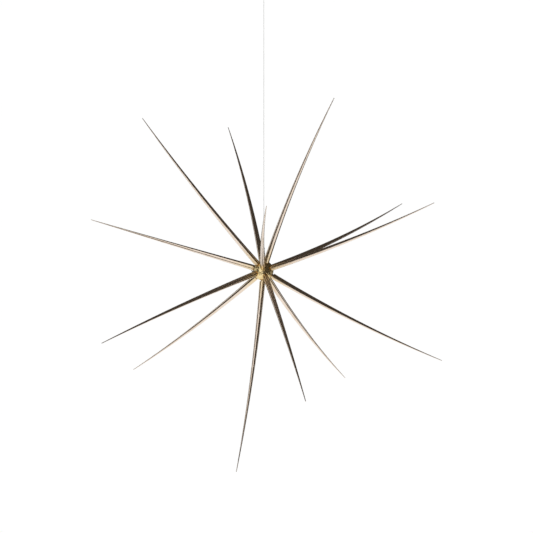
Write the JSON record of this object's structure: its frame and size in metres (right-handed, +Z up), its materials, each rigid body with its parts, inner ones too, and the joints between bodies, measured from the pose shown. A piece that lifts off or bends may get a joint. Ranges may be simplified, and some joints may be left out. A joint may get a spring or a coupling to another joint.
{
  "type": "hanging starburst ornament",
  "caption": "Polished brass starburst of long slightly bent tapered spikes round a small ball, hanging from an eye screw on a thin thread.",
  "frame": {"origin": "inside top of the thread's top loop, where the hook bears; the star hangs below it on -Z", "axes": "+Z up along the thread; +Y away from the viewer of the star's front; +X to the viewer's right"},
  "size_m": [0.5001, 0.5479, 0.6815],
  "materials": {
    "spike_brass": "polished brass with fine drawing marks along each spike",
    "hub_brass": "polished yellow brass",
    "eye_brass": "polished yellow brass",
    "stud_steel": "plain steel screw stud, hidden",
    "thread_nylon": "pale grey twisted nylon thread"
  },
  "bodies": {
    "hanger": {"top_loop": "thread_nylon", "top_knot": "thread_nylon"},
    "line": {"thread": "thread_nylon"},
    "line_end": {"lower_knot": "thread_nylon", "lower_loop": "thread_nylon"},
    "star": {"hub_ball": "hub_brass", "eye_screw": "eye_brass", "spike_01": "spike_brass", "spike_02": "spike_brass", "spike_03": "spike_brass", "spike_04": "spike_brass", "spike_05": "spike_brass", "spike_06": "spike_brass", "spike_07": "spike_brass", "spike_08": "spike_brass", "spike_09": "spike_brass", "spike_10": "spike_brass", "spike_11": "spike_brass", "spike_12": "spike_brass", "spike_13": "spike_brass", "spike_14": "spike_brass", "stud_01": "stud_steel", "stud_02": "stud_steel", "stud_03": "stud_steel", "stud_04": "stud_steel", "stud_05": "stud_steel", "stud_06": "stud_steel", "stud_07": "stud_steel", "stud_08": "stud_steel", "stud_09": "stud_steel", "stud_10": "stud_steel", "stud_11": "stud_steel", "stud_12": "stud_steel", "stud_13": "stud_steel", "stud_14": "stud_steel"}
  },
  "joints": [
    {"name": "fore_swing", "type": "hinge", "parent": "hanger", "child": "line", "pos_m": [0, 0, -0.01775], "axis": [1, 0, 0], "range_deg": [-30, 30]},
    {"name": "thread_twist", "type": "hinge", "parent": "line", "child": "line_end", "pos_m": [0, 0, -0.37025], "axis": [0, 0, 1], "continuous": true},
    {"name": "star_rock", "type": "hinge", "parent": "line_end", "child": "star", "pos_m": [0, 0, -0.382], "axis": [0, 1, 0], "range_deg": [-30, 30]}
  ]
}
